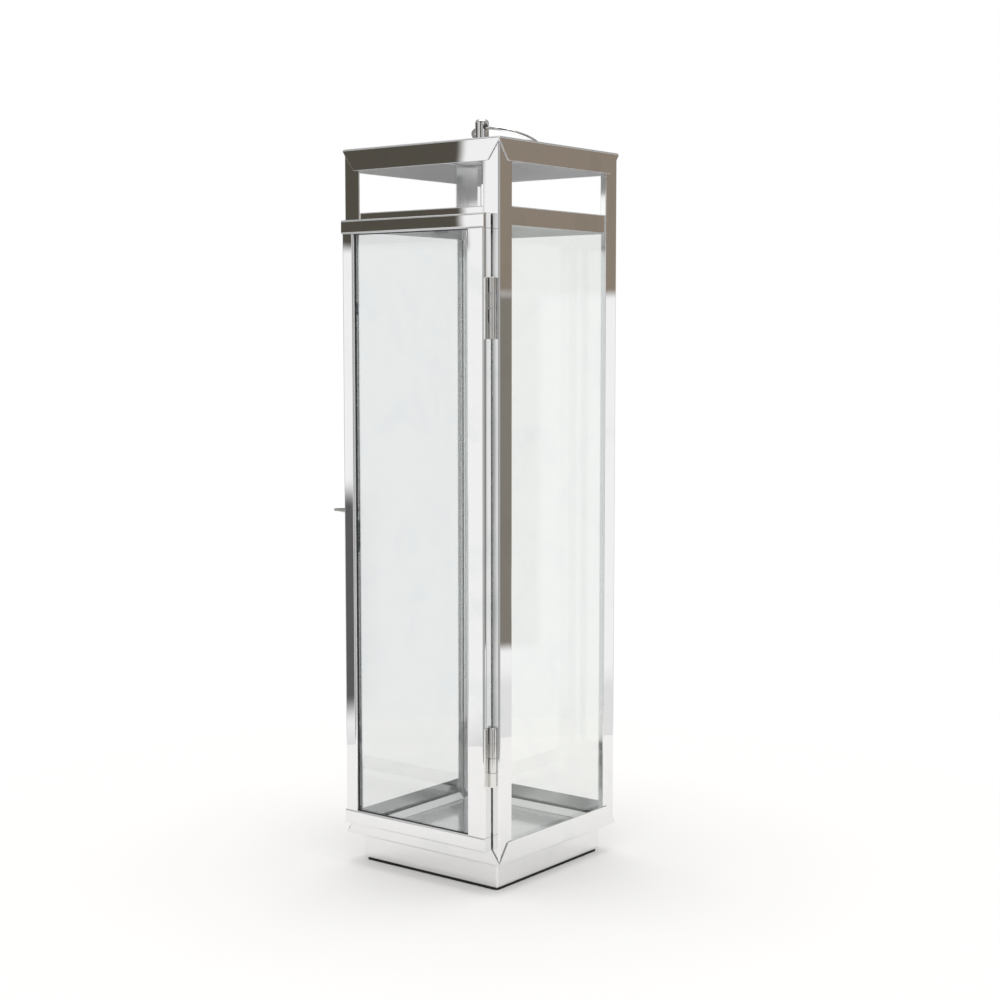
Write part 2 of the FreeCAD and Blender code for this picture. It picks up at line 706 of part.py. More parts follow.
def strike_plate():
    body = new_body("strike_plate")
    face = new_sketch(body, "face", "XZ_Plane", "body_side/2")
    left = "-(body_side/2-strike_inset)"
    middle = "(pull_level-magnet_drop)"
    rectangle(face, left, middle + "-strike_height/2", left + "+strike_width", middle + "+strike_height/2")
    plate = pad(body, face, "leaf_sheet")
    round_edges(body, plate, "bend_radius", lambda edge: near(edge.Length, value["leaf_sheet"]))


def handle_stud():
    """A round post on the cap with a cross hole for the ring and a threaded shank through the cap."""
    body = new_body("handle_stud")
    plan = new_sketch(body, "plan", "XY_Plane", "cap_level")
    circle(plan, "0", "0", "stud_radius")
    post = pad(body, plan, "stud_height")
    top = number("cap_level+stud_height")
    round_edges(body, post, "stud_round", lambda edge: near(middle_of(edge).z, top))
    shank = new_sketch(body, "shank", "XY_Plane", "cap_level-shank_length")
    circle(shank, "0", "0", "shank_radius")
    pad(body, shank, "shank_length")
    hole = new_sketch(body, "cross_hole", "YZ_Plane")
    circle(hole, "0", "cap_level+cross_hole_level", "cross_hole_radius")
    drilled = pocket_through(body, hole)
    level = number("cap_level+cross_hole_level")
    hole_width = 2.0 * value["cross_hole_radius"]

    def mouth(edge):
        point = edge.CenterOfMass
        height = edge.BoundBox.ZLength
        return near(point.z, level) and height > hole_width * MOSTLY and abs(point.x) > value["shank_radius"]

    round_edges(body, drilled, "cross_hole_flare", mouth)
    turned(body, value["stud_turn"])


def stud_washer():
    body = new_body("stud_washer")
    plan = new_sketch(body, "plan", "XY_Plane", "cap_level-pan_sheet-washer_height")
    circle(plan, "0", "0", "washer_radius")
    circle(plan, "0", "0", "shank_radius+shank_clear")
    pad(body, plan, "washer_height")


def stud_nut():
    nut("stud_nut", "nut_flats", "nut_height", "shank_radius+pin_clear",
        "(cap_level-pan_sheet-washer_height-nut_height)")


def ring_handle():
    """A closed wire ring through the cross hole, lying back so that its far end is just over the cap."""
    ring = doc.addObject("Part::Torus", "ring_handle")
    ring.Label = "ring_handle"
    ring.setExpression("Radius1", bound("ring_radius"))
    ring.setExpression("Radius2", bound("wire_radius"))
    turn = math.radians(value["stud_turn"])
    fall = number("(cross_hole_level-ring_drop-wire_radius-ring_rest_gap)/(2*ring_radius)")
    rise = math.sqrt(1.0 - fall * fall)
    along_hole = FreeCAD.Vector(math.cos(turn), math.sin(turn), 0)
    away = FreeCAD.Vector(-math.sin(turn) * rise, math.cos(turn) * rise, -fall)
    threaded = FreeCAD.Vector(0, 0, number("cap_level+cross_hole_level-ring_drop"))
    facing = along_hole.cross(away)
    ring.Placement = FreeCAD.Placement(threaded + away * value["ring_radius"],
                                       FreeCAD.Rotation(along_hole, away, facing, "XYZ"))
    pieces.append(ring)


foot_pad()
plinth()
folded_pan("base_pan", "base_level", 1)
for corner in CORNER_TURN:
    corner_post(corner)
for side in SIDE_TURN:
    header_rail(side)
top_cap()
for side in ("right", "rear", "left"):
    pane(side)
    pane_bead(side)
pane_clips()
door_rail("door_top_rail", DOOR_TOP, "-")
door_rail("door_bottom_rail", "door_level", "+")
latch_stile()
door_stile("door_hinge_stile", DOOR_RIGHT, "-", "hinge_stile_width")
door_pane()
door_seal()
door_pane_clips()
hinge("upper", "upper_hinge_level")
hinge("lower", "lower_hinge_level")
door_pull()
pull_nut()
catch_magnet()
strike_plate()
handle_stud()
stud_washer()
stud_nut()
ring_handle()
doc.recompute()

failed = [thing.Label for thing in doc.Objects if {"Invalid", "Error"} & set(thing.State)]
failed += [piece.Label for piece in pieces if piece.Shape.isNull() or not piece.Shape.isValid()]
if failed:
    raise RuntimeError("not built: " + ", ".join(failed))

os.makedirs("parts", exist_ok=True)
for piece in pieces:
    piece.Shape.exportStep("parts/%s.step" % piece.Label)
    extent = piece.Shape.BoundBox
    print("%-24s %10.1f mm3 %7.1f %7.1f %7.1f to %7.1f %7.1f %7.1f" % (
        piece.Label, piece.Shape.Volume, extent.XMin, extent.YMin, extent.ZMin,
        extent.XMax, extent.YMax, extent.ZMax))
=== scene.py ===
"""Looks of the candle lantern: finishes, eased edges, studio and camera.

Everything is in metres in the lantern's own frame: +Z is up and the door faces -Y.
"""

import json
import logging
import math
from dataclasses import dataclass, field
from enum import Enum
from typing import Any, ClassVar, Mapping

import bmesh
import bpy
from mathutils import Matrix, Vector


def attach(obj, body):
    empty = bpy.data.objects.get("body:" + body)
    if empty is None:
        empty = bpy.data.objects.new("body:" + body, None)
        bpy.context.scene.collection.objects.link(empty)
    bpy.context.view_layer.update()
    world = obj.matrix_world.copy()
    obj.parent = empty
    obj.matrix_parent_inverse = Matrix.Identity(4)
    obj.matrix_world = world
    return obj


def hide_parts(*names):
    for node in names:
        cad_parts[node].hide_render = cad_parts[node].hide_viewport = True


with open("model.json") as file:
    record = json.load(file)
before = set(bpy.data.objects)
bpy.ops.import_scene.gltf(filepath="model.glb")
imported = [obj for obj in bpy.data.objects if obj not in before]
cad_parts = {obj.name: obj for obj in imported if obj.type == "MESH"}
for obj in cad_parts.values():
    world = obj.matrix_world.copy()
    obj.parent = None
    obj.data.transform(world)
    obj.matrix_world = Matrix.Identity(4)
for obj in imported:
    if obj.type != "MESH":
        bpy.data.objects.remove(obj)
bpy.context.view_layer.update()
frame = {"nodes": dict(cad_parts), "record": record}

MM = 0.001
MERGE = 1e-6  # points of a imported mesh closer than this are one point
FLAT = math.radians(0.5)  # faces that turn less than this are one face
EDGE = math.radians(30)  # folds that turn more than this are edges to ease
BEVEL_STEPS = 2
WHITE = "#FFFFFF"
ONCE = 0.5  # parts rays that met a kind of surface at least once from those that never did
BODY_OF = {node: body for body, nodes in frame["record"]["behaviour"]["bodies"].items() for node in nodes}
log = logging.getLogger("lantern")


def srgb(code: str) -> tuple[float, float, float, float]:
    """Turns a written colour into the linear one that the shaders take.

    Args:
        code: sRGB colour as "#RRGGBB".

    Returns:
        Linear red, green and blue, with an alpha of 1.
    """
    shares = [int(code[i:i + 2], 16) / 255 for i in (1, 3, 5)]
    red, green, blue = (s / 12.92 if s <= 0.04045 else ((s + 0.055) / 1.055) ** 2.4 for s in shares)
    return red, green, blue, 1.0


def add_node(
    tree: bpy.types.NodeTree, kind: str, inputs: Mapping[Any, Any] | None = None, **settings: Any
) -> bpy.types.Node:
    """Adds one node, sets it up and links it.

    Args:
        tree: Node tree that gets the node.
        kind: Blender's name for the kind of node.
        inputs: Input sockets by name or place, each with a value or with the output that feeds it.
        **settings: Properties of the node itself.

    Returns:
        The new node.
    """
    node = tree.nodes.new(kind)
    for name, value in settings.items():
        setattr(node, name, value)
    for key, value in (inputs or {}).items():
        if isinstance(value, bpy.types.NodeSocket):
            tree.links.new(value, node.inputs[key])
        else:
            node.inputs[key].default_value = value
    return node


def per_metre(size_mm: float) -> float:
    """Texture scale at which one cell of a pattern is this many millimetres across."""
    return 1 / (size_mm * MM)


class Run(Enum):
    """Which way the marks of a tool run along a piece: 1 on each axis that they follow."""

    ALONG_X = (1, 0, 0)
    ALONG_Y = (0, 1, 0)
    UPRIGHT = (0, 0, 1)
    LEVEL = (1, 1, 0)

    def scale(self, width_mm: float, length_mm: float) -> tuple[float, ...]:
        """Texture scale on each axis for marks of this width and length."""
        return tuple(per_metre(length_mm if along else width_mm) for along in self.value)


@dataclass(frozen=True)
class Finish:
    """A material by its common name and the way its surface was made, and how far its edges are eased."""

    eased_mm: ClassVar[float] = 0.0
    name: str

    def paint(self, tree: bpy.types.NodeTree, shader: bpy.types.Node) -> None:
        """Sets the shader's sockets and links its patterns.

        Args:
            tree: The material's node tree.
            shader: Its surface shader.
        """
        raise NotImplementedError

    def material(self) -> bpy.types.Material:
        """Makes the Blender material of this finish on its first use.

        Returns:
            The material, the same one each time.
        """
        known = bpy.data.materials.get(self.name)
        if known:
            return known
        made = bpy.data.materials.new(self.name)
        made.use_nodes = True
        tree = made.node_tree
        tree.nodes.clear()
        shader = add_node(tree, "ShaderNodeBsdfPrincipled")
        add_node(tree, "ShaderNodeOutputMaterial", {"Surface": shader.outputs[0]}, name="out")
        self.paint(tree, shader)
        return made


@dataclass(frozen=True)
class MirrorStainless(Finish):
    """Stainless sheet, buffed to a mirror and then folded.

    The eye sees what stands round it, a little darker than it is, drawn out in slow ripples by the folding,
    with hairline buffing marks and a few dull wiped patches. The side that faces the candle kept its mill
    finish, which blurs what it mirrors, and the cut edges were eased, so that they catch the light. The tone
    of that side is set per piece: darker on the pan, as painted shade, and lighter on the posts and stiles,
    as painted light.
    """

    eased_mm: ClassVar[float] = 0.3
    run: Run = Run.UPRIGHT
    bright: str = "#EFEFEF"
    wiped: str = "#E9EAEA"
    gloss: float = 0.01
    smear: float = 0.03
    milled: float = 0.34
    # tone of the side that faces the candle: the pan's darker one is painted shade, the uprights' lighter one
    # painted light
    milled_tone_and_shading: str = "#E8E8E8"
    candle: tuple[float, float, float] = (0.0, 0.0, 0.33)  # middle of the candle chamber, in metres
    ripple_mm: float = 20.0
    ripple_length_mm: float = 90.0
    ripple_depth_mm: float = 0.075
    mark_mm: float = 0.9  # real buffing marks are about 0.05 mm wide and would not show
    mark_length_mm: float = 45.0
    mark_depth_mm: float = 0.0006
    patch_mm: float = 38.0
    patch_range: tuple[float, float] = (0.52, 0.72)
    worn_most: float = 0.8

    def paint(self, tree: bpy.types.NodeTree, shader: bpy.types.Node) -> None:
        """Sets the shader's sockets and links its patterns.

        Args:
            tree: The material's node tree.
            shader: Its surface shader.
        """
        shader.inputs["Metallic"].default_value = 1.0
        spot = add_node(tree, "ShaderNodeTexCoord")
        place = spot.outputs["Object"]
        patches = add_node(
            tree, "ShaderNodeTexNoise", {"Vector": place, "Scale": per_metre(self.patch_mm), "Detail": 4.0}
        )
        least, most = self.patch_range
        dulled = add_node(
            tree, "ShaderNodeMapRange",
            {0: patches.outputs[0], 1: least, 2: most}, interpolation_type="SMOOTHSTEP",
        )
        tone = add_node(
            tree, "ShaderNodeMix",
            {0: dulled.outputs[0], 6: srgb(self.bright), 7: srgb(self.wiped)}, data_type="RGBA",
        )
        along = add_node(
            tree, "ShaderNodeMapping",
            {"Vector": place, "Scale": self.run.scale(self.mark_mm, self.mark_length_mm)},
        )
        marks = add_node(
            tree, "ShaderNodeTexNoise", {"Vector": along.outputs[0], "Scale": 1.0, "Detail": 2.0}
        )
        worn = add_node(
            tree, "ShaderNodeMath", {0: marks.outputs[0], 1: dulled.outputs[0]}, operation="MULTIPLY"
        )
        roughness = add_node(
            tree, "ShaderNodeMapRange",
            {0: worn.outputs[0], 1: 0.0, 2: self.worn_most, 3: self.gloss, 4: self.smear},
        )
        outwards = add_node(
            tree, "ShaderNodeVectorMath", {0: place, 1: self.candle}, operation="SUBTRACT"
        )
        facing = add_node(
            tree, "ShaderNodeVectorMath",
            {0: outwards.outputs[0], 1: spot.outputs["Normal"]}, operation="DOT_PRODUCT",
        )
        inside = add_node(
            tree, "ShaderNodeMath", {0: facing.outputs["Value"], 1: 0.0}, operation="LESS_THAN"
        )
        either = add_node(
            tree, "ShaderNodeMix",
            {0: inside.outputs[0], 2: roughness.outputs[0], 3: self.milled}, data_type="FLOAT",
        )
        drawn = add_node(
            tree, "ShaderNodeMapping",
            {"Vector": place, "Scale": self.run.scale(self.ripple_mm, self.ripple_length_mm)},
        )
        waves = add_node(
            tree, "ShaderNodeTexNoise", {"Vector": drawn.outputs[0], "Scale": 1.0, "Detail": 0.0}
        )
        ripple = add_node(
            tree, "ShaderNodeBump",
            {"Strength": 1.0, "Distance": self.ripple_depth_mm * MM, "Height": waves.outputs[0]},
        )
        scuffed = add_node(
            tree, "ShaderNodeBump",
            {"Strength": 1.0, "Distance": self.mark_depth_mm * MM, "Height": marks.outputs[0],
             "Normal": ripple.outputs[0]},
        )
        metal = add_node(
            tree, "ShaderNodeMix",
            {0: inside.outputs[0], 6: tone.outputs[2], 7: srgb(self.milled_tone_and_shading)}, data_type="RGBA",
        )
        tree.links.new(metal.outputs[2], shader.inputs["Base Color"])
        tree.links.new(either.outputs[0], shader.inputs["Roughness"])
        tree.links.new(scuffed.outputs[0], shader.inputs["Normal"])


@dataclass(frozen=True)
class TurnedSteel(Finish):
    """Stainless rod, turned on a lathe and polished: bright bands with faint rings from the tool."""

    run: Run = Run.LEVEL
    bright: str = "#EBEAE8"
    dark: str = "#DAD9D7"
    gloss: float = 0.05
    dull: float = 0.12
    feed_mm: float = 0.35
    feeds_long: float = 40.0
    ring_range: tuple[float, float] = (0.3, 0.7)
    depth_mm: float = 0.002

    def paint(self, tree: bpy.types.NodeTree, shader: bpy.types.Node) -> None:
        """Sets the shader's sockets and links its patterns.

        Args:
            tree: The material's node tree.
            shader: Its surface shader.
        """
        shader.inputs["Metallic"].default_value = 1.0
        place = add_node(tree, "ShaderNodeTexCoord").outputs["Object"]
        around = add_node(
            tree, "ShaderNodeMapping",
            {"Vector": place, "Scale": self.run.scale(self.feed_mm, self.feeds_long * self.feed_mm)},
        )
        rings = add_node(
            tree, "ShaderNodeTexNoise", {"Vector": around.outputs[0], "Scale": 1.0, "Detail": 3.0}
        )
        tone = add_node(
            tree, "ShaderNodeMix",
            {0: rings.outputs[0], 6: srgb(self.bright), 7: srgb(self.dark)}, data_type="RGBA",
        )
        least, most = self.ring_range
        roughness = add_node(
            tree, "ShaderNodeMapRange",
            {0: rings.outputs[0], 1: least, 2: most, 3: self.gloss, 4: self.dull},
        )
        grooves = add_node(
            tree, "ShaderNodeBump",
            {"Strength": 1.0, "Distance": self.depth_mm * MM, "Height": rings.outputs[0]},
        )
        tree.links.new(tone.outputs[2], shader.inputs["Base Color"])
        tree.links.new(roughness.outputs[0], shader.inputs["Roughness"])
        tree.links.new(grooves.outputs[0], shader.inputs["Normal"])


@dataclass(frozen=True)
class ZincPlate(Finish):
    """Zinc-plated mild steel: a cool grey with a fine crystal spangle and a soft sheen."""

    eased_mm: ClassVar[float] = 0.2
    light: str = "#C3C7CB"
    dark: str = "#9EA3A8"
    spangle_mm: float = 1.4
    smooth: float = 0.24
    rough: float = 0.42

    def paint(self, tree: bpy.types.NodeTree, shader: bpy.types.Node) -> None:
        """Sets the shader's sockets and links its patterns.

        Args:
            tree: The material's node tree.
            shader: Its surface shader.
        """
        shader.inputs["Metallic"].default_value = 1.0
        place = add_node(tree, "ShaderNodeTexCoord").outputs["Object"]
        crystals = add_node(
            tree, "ShaderNodeTexVoronoi", {"Vector": place, "Scale": per_metre(self.spangle_mm)}
        )
        shade = add_node(tree, "ShaderNodeSeparateColor", {0: crystals.outputs["Color"]})
        tone = add_node(
            tree, "ShaderNodeMix",
            {0: shade.outputs[0], 6: srgb(self.light), 7: srgb(self.dark)}, data_type="RGBA",
        )
        roughness = add_node(
            tree, "ShaderNodeMapRange", {0: shade.outputs[1], 3: self.smooth, 4: self.rough}
        )
        tree.links.new(tone.outputs[2], shader.inputs["Base Color"])
        tree.links.new(roughness.outputs[0], shader.inputs["Roughness"])


@dataclass(frozen=True)
class FloatGlass(Finish):
    """Clear float glass, cut and wiped: nearly unseen face on, green along its cut edges, faintly smeared."""

    clear: str = "#F8F9F8"
    smeared: str = "#F5F6F6"
    depth_tint: str = "#A9CDBE"
    tint_per_metre: float = 2.5
    ior: float = 1.5
    smear_mm: float = 70.0
    smear_range: tuple[float, float] = (0.5, 0.75)
    haze: float = 0.002
    shine: float = 0.06
    draw_mm: float = 90.0
    draw_depth_mm: float = 0.01

    def paint(self, tree: bpy.types.NodeTree, shader: bpy.types.Node) -> None:
        """Sets the shader's sockets and links its patterns.

        Args:
            tree: The material's node tree.
            shader: Its surface shader.
        """
        shader.inputs["IOR"].default_value = self.ior
        shader.inputs["Specular IOR Level"].default_value = self.shine
        shader.inputs["Transmission Weight"].default_value = 1.0
        place = add_node(tree, "ShaderNodeTexCoord").outputs["Object"]
        smears = add_node(
            tree, "ShaderNodeTexNoise",
            {"Vector": place, "Scale": per_metre(self.smear_mm), "Detail": 5.0, "Distortion": 1.5},
        )
        least, most = self.smear_range
        amount = add_node(
            tree, "ShaderNodeMapRange",
            {0: smears.outputs[0], 1: least, 2: most}, interpolation_type="SMOOTHSTEP",
        )
        tone = add_node(
            tree, "ShaderNodeMix",
            {0: amount.outputs[0], 6: srgb(self.clear), 7: srgb(self.smeared)}, data_type="RGBA",
        )
        roughness = add_node(
            tree, "ShaderNodeMapRange", {0: amount.outputs[0], 3: 0.0, 4: self.haze}
        )
        draw = add_node(
            tree, "ShaderNodeTexNoise", {"Vector": place, "Scale": per_metre(self.draw_mm), "Detail": 0.0}
        )
        lines = add_node(
            tree, "ShaderNodeBump",
            {"Strength": 1.0, "Distance": self.draw_depth_mm * MM, "Height": draw.outputs[0]},
        )
        depth = add_node(
            tree, "ShaderNodeVolumeAbsorption",
            {"Color": srgb(self.depth_tint), "Density": self.tint_per_metre},
        )
        tree.links.new(tone.outputs[2], shader.inputs["Base Color"])
        tree.links.new(roughness.outputs[0], shader.inputs["Roughness"])
        tree.links.new(lines.outputs[0], shader.inputs["Normal"])
        tree.links.new(depth.outputs[0], tree.nodes["out"].inputs["Volume"])


@dataclass(frozen=True)
class BlackRubber(Finish):
    """Black rubber, foamed and cut from sheet or extruded solid: dull black with open pores or fine pits."""

    black: str = "#141414"
    worn: str = "#262524"
    pore_mm: float = 0.7
    depth_mm: float = 0.12
    roughness: float = 0.85

    def paint(self, tree: bpy.types.NodeTree, shader: bpy.types.Node) -> None:
        """Sets the shader's sockets and links its patterns.

        Args:
            tree: The material's node tree.
            shader: Its surface shader.
        """
        shader.inputs["Roughness"].default_value = self.roughness
        place = add_node(tree, "ShaderNodeTexCoord").outputs["Object"]
        pores = add_node(
            tree, "ShaderNodeTexVoronoi", {"Vector": place, "Scale": per_metre(self.pore_mm)}
        )
        tone = add_node(
            tree, "ShaderNodeMix",
            {0: pores.outputs["Distance"], 6: srgb(self.black), 7: srgb(self.worn)}, data_type="RGBA",
        )
        pits = add_node(
            tree, "ShaderNodeBump",
            {"Strength": 1.0, "Distance": self.depth_mm * MM, "Height": pores.outputs["Distance"]},
        )
        tree.links.new(tone.outputs[2], shader.inputs["Base Color"])
        tree.links.new(pits.outputs[0], shader.inputs["Normal"])


@dataclass(frozen=True)
class SinteredFerrite(Finish):
    """Pressed and sintered ferrite: charcoal grey, matt, with a speckle of grains."""

    dark: str = "#2A2A2C"
    light: str = "#48484B"
    grain_mm: float = 0.5
    roughness: float = 0.6

    def paint(self, tree: bpy.types.NodeTree, shader: bpy.types.Node) -> None:
        """Sets the shader's sockets and links its patterns.

        Args:
            tree: The material's node tree.
            shader: Its surface shader.
        """
        shader.inputs["Roughness"].default_value = self.roughness
        place = add_node(tree, "ShaderNodeTexCoord").outputs["Object"]
        grains = add_node(
            tree, "ShaderNodeTexNoise", {"Vector": place, "Scale": per_metre(self.grain_mm), "Detail": 3.0}
        )
        tone = add_node(
            tree, "ShaderNodeMix",
            {0: grains.outputs[0], 6: srgb(self.dark), 7: srgb(self.light)}, data_type="RGBA",
        )
        tree.links.new(tone.outputs[2], shader.inputs["Base Color"])


# posts and stiles get a lighter inner side than the other sheet: painted light on the faces seen through the
# glass
UPRIGHT_SHEET = MirrorStainless("mirror_stainless_upright", Run.UPRIGHT, milled=0.1, milled_tone_and_shading="#FCFCFC")
LEVEL_SHEET = MirrorStainless("mirror_stainless_level", Run.LEVEL, ripple_depth_mm=0.045)
WIDE_SHEET = MirrorStainless("mirror_stainless_across", Run.ALONG_X)
DEEP_SHEET = MirrorStainless("mirror_stainless_front_to_back", Run.ALONG_Y)
# the pan's inner side gets a darker tone than the other sheet: painted shade inside the lantern's foot
PAN_SHEET = MirrorStainless(
    "mirror_stainless_pan", Run.LEVEL, milled=0.13, milled_tone_and_shading="#CECECE", ripple_depth_mm=0.045
)
HINGE_STEEL = TurnedSteel("rolled_hinge_steel", Run.UPRIGHT, gloss=0.06)
TURNED_UPRIGHT = TurnedSteel("turned_stainless_upright", Run.LEVEL)
DRAWN_WIRE = TurnedSteel("drawn_stainless_wire", Run.LEVEL, "#D6D5D3", "#C4C3C1", feed_mm=0.6, depth_mm=0.001)
TURNED_ACROSS = TurnedSteel("turned_stainless_across", Run.UPRIGHT, "#CBCAC8", "#B4B3B1")
PLATED = ZincPlate("zinc_plated_steel")
GLASS = FloatGlass("clear_float_glass")
# the door pane is tinted greyer than the fixed panes: painted shade, so that the lantern's inside looks
# shaded through it
DOOR_GLASS = FloatGlass("clear_float_glass_shade_tinted", clear="#EEEFF0", smeared="#EBEDEE")
FOAM = BlackRubber("black_foam_rubber")
SEAL = BlackRubber(
    "black_extruded_rubber", black="#262626", worn="#3A3A3A", pore_mm=0.3, depth_mm=0.02, roughness=0.5
)
FERRITE = SinteredFerrite("sintered_ferrite")


@dataclass
class SubAssembly:
    """A group of the lantern's pieces, each with the finish that it wears."""

    wears: ClassVar[dict[str, Finish]] = {}
    eased: dict[str, bpy.types.Object] = field(default_factory=dict)

    def build(self) -> None:
        """Puts a copy with eased edges in the place of each piece whose finish has them."""
        for node, finish in self.wears.items():
            if finish.eased_mm:
                self.eased[node] = self.ease(node, finish.eased_mm * MM)

    def ease(self, node: str, width: float) -> bpy.types.Object:
        """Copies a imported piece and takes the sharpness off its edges.

        Args:
            node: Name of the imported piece.
            width: How far the easing reaches from each edge.

        Returns:
            The copy, which rides on the same body and replaces the piece.
        """
        shape = bmesh.new()
        shape.from_mesh(frame["nodes"][node].data)
        bmesh.ops.remove_doubles(shape, verts=shape.verts, dist=MERGE)
        bmesh.ops.dissolve_limit(shape, angle_limit=FLAT, verts=shape.verts, edges=shape.edges)
        for face in shape.faces:
            face.smooth = True
        mesh = bpy.data.meshes.new(f"{node}_eased")
        shape.to_mesh(mesh)
        shape.free()
        if "custom_normal" in mesh.attributes:
            mesh.attributes.remove(mesh.attributes["custom_normal"])
        mesh.materials.clear()
        piece = bpy.data.objects.new(mesh.name, mesh)
        piece.matrix_world = frame["nodes"][node].matrix_world
        bpy.context.scene.collection.objects.link(piece)
        bevel = piece.modifiers.new("eased_edges", "BEVEL")
        bevel.width = width
        bevel.segments = BEVEL_STEPS
        bevel.limit_method = "ANGLE"
        bevel.angle_limit = EDGE
        bevel.harden_normals = True
        weighted = piece.modifiers.new("flat_faces", "WEIGHTED_NORMAL")
        weighted.keep_sharp = False
        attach(piece, BODY_OF[node])
        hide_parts(node)
        return piece

    def dress(self) -> None:
        """Gives every piece of the group its finish."""
        for node, finish in self.wears.items():
            slots = self.eased.get(node, frame["nodes"][node]).data.materials
            slots.clear()
            slots.append(finish.material())
            log.info("%s wears %s", node, finish.name)


@dataclass
class Foot(SubAssembly):
    """The foot pad, the plinth and the folded pan that carries the posts."""

    wears: ClassVar[dict[str, Finish]] = {"foot_pad": FOAM, "plinth": LEVEL_SHEET, "base_pan": PAN_SHEET}


@dataclass
class Carcass(SubAssembly):
    """The four folded posts, the header rails between them and the cap."""

    wears: ClassVar[dict[str, Finish]] = {
        **{f"{end}_{side}_post": UPRIGHT_SHEET for end in ("front", "rear") for side in ("left", "right")},
        "front_header": WIDE_SHEET,
        "rear_header": WIDE_SHEET,
        "left_header": DEEP_SHEET,
        "right_header": DEEP_SHEET,
        "top_cap": LEVEL_SHEET,
    }


@dataclass
class Glazing(SubAssembly):
    """The three fixed panes with the beads and clips that hold them."""

    wears: ClassVar[dict[str, Finish]] = {
        "left_pane": GLASS,
        "rear_pane": GLASS,
        "right_pane": GLASS,
        "left_pane_bead": DEEP_SHEET,
        "rear_pane_bead": WIDE_SHEET,
        "right_pane_bead": DEEP_SHEET,
        "pane_clips": PLATED,
    }


@dataclass
class Door(SubAssembly):
    """The hinged door: four channels, a pane in its seal and clips, the pull and the catch."""

    wears: ClassVar[dict[str, Finish]] = {
        "door_top_rail": WIDE_SHEET,
        "door_bottom_rail": WIDE_SHEET,
        "door_latch_stile": UPRIGHT_SHEET,
        "door_hinge_stile": UPRIGHT_SHEET,
        "door_pane": DOOR_GLASS,
        "door_seal": SEAL,
        "door_pane_clips": PLATED,
        "door_pull": TURNED_ACROSS,
        "pull_nut": PLATED,
        "catch_magnet": FERRITE,
        "strike_plate": PLATED,
    }


@dataclass
class Hinges(SubAssembly):
    """The two butt hinges with their pins."""

    wears: ClassVar[dict[str, Finish]] = {
        f"{level}_hinge_{piece}": HINGE_STEEL
        for level in ("upper", "lower") for piece in ("frame_leaf", "door_leaf", "pin")
    }


@dataclass
class CarryRing(SubAssembly):
    """The ring handle and the stud that it swings in."""

    wears: ClassVar[dict[str, Finish]] = {
        "handle_stud": TURNED_UPRIGHT,
        "stud_washer": PLATED,
        "stud_nut": PLATED,
        "ring_handle": DRAWN_WIRE,
    }


@dataclass(frozen=True)
class Card:
    """A studio card that the polished steel mirrors, so that it reads as metal in a white sweep.

    Bearings run clockwise from +Y in degrees, and elevations up from the horizon, as seen from the lantern.
    """

    name: str
    bearings: tuple[float, float]
    elevations: tuple[float, float]
    colour: str
    blur: float = 0.2


ALL_ROUND = (-181.0, 181.0)
STRIP_BEARINGS = range(-165, 180, 60)
STRIP_HALF = 6.0
STRIP_HEIGHT = (-60.0, 12.0)
CARDS = (
    Card("grey card at the back", (-100.0, 15.0), (-30.0, 40.0), "#A0A0A0", 6.0),
    Card("grey card at the right", (65.0, 115.0), (-60.0, 15.0), "#909090", 6.0),
    *(
        Card("upright dark strip", (bearing - STRIP_HALF, bearing + STRIP_HALF), STRIP_HEIGHT, "#808080", 1.5)
        for bearing in STRIP_BEARINGS
    ),
    Card("low grey card at the left", (-160.0, -60.0), (-20.0, -13.0), "#DCDCDC", 1.2),
    Card("dark card over the left", (-141.0, -95.0), (3.0, 10.0), "#56524A"),
    Card("dark card at the left", (-138.0, -120.0), (-12.0, -5.0), "#606060", 0.5),
    Card("low grey card at the right", (8.0, 60.0), (-20.0, -11.0), "#ECECEC", 0.5),
    Card("warm card over the right", (8.0, 60.0), (1.5, 10.0), "#928679"),
    Card("warm card at the right", (36.5, 60.0), (-10.0, 1.5), "#858077"),
    Card("low grey band all round", ALL_ROUND, (-38.0, -22.0), "#8C8C8C", 5.0),
    Card("high grey band all round", ALL_ROUND, (16.0, 48.0), "#A6A6A6", 5.0),
    Card("black cloth round the camera", (150.0, 176.0), (-40.0, 40.0), "#4A4A4A", 1.0),
)


